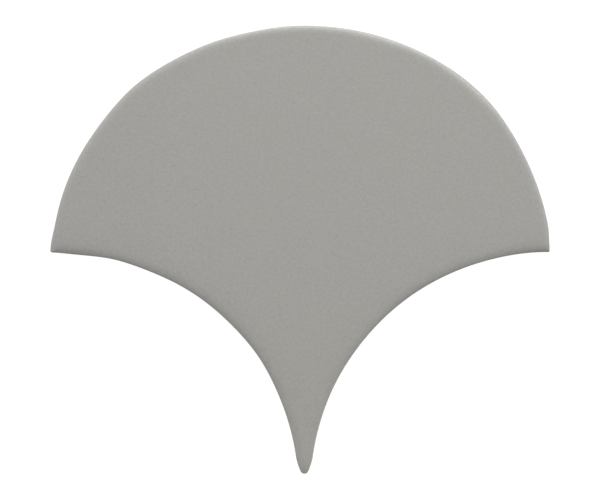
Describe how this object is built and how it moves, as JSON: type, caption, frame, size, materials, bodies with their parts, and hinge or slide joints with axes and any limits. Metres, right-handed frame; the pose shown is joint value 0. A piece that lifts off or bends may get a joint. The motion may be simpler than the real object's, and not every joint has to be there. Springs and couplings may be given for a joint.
{
  "type": "fan floor tile",
  "caption": "Fan-shaped porcelain floor tile: domed head, concave flanks and a narrow tip, flat satin face with a rolled rim, keyed back.",
  "frame": {"origin": "middle of the tile's width and height, in the plane of the back that it lies on", "axes": "+X across the fan's width, +Y from the tip towards the crown of the dome, +Z out of the glazed face"},
  "size_m": [0.142, 0.1272, 0.009],
  "materials": {
    "glazed_porcelain": "satin matt warm grey glaze on the face and rim, bare fired body on the back"
  },
  "bodies": {
    "root": {"fan_tile": "glazed_porcelain"}
  },
  "joints": []
}
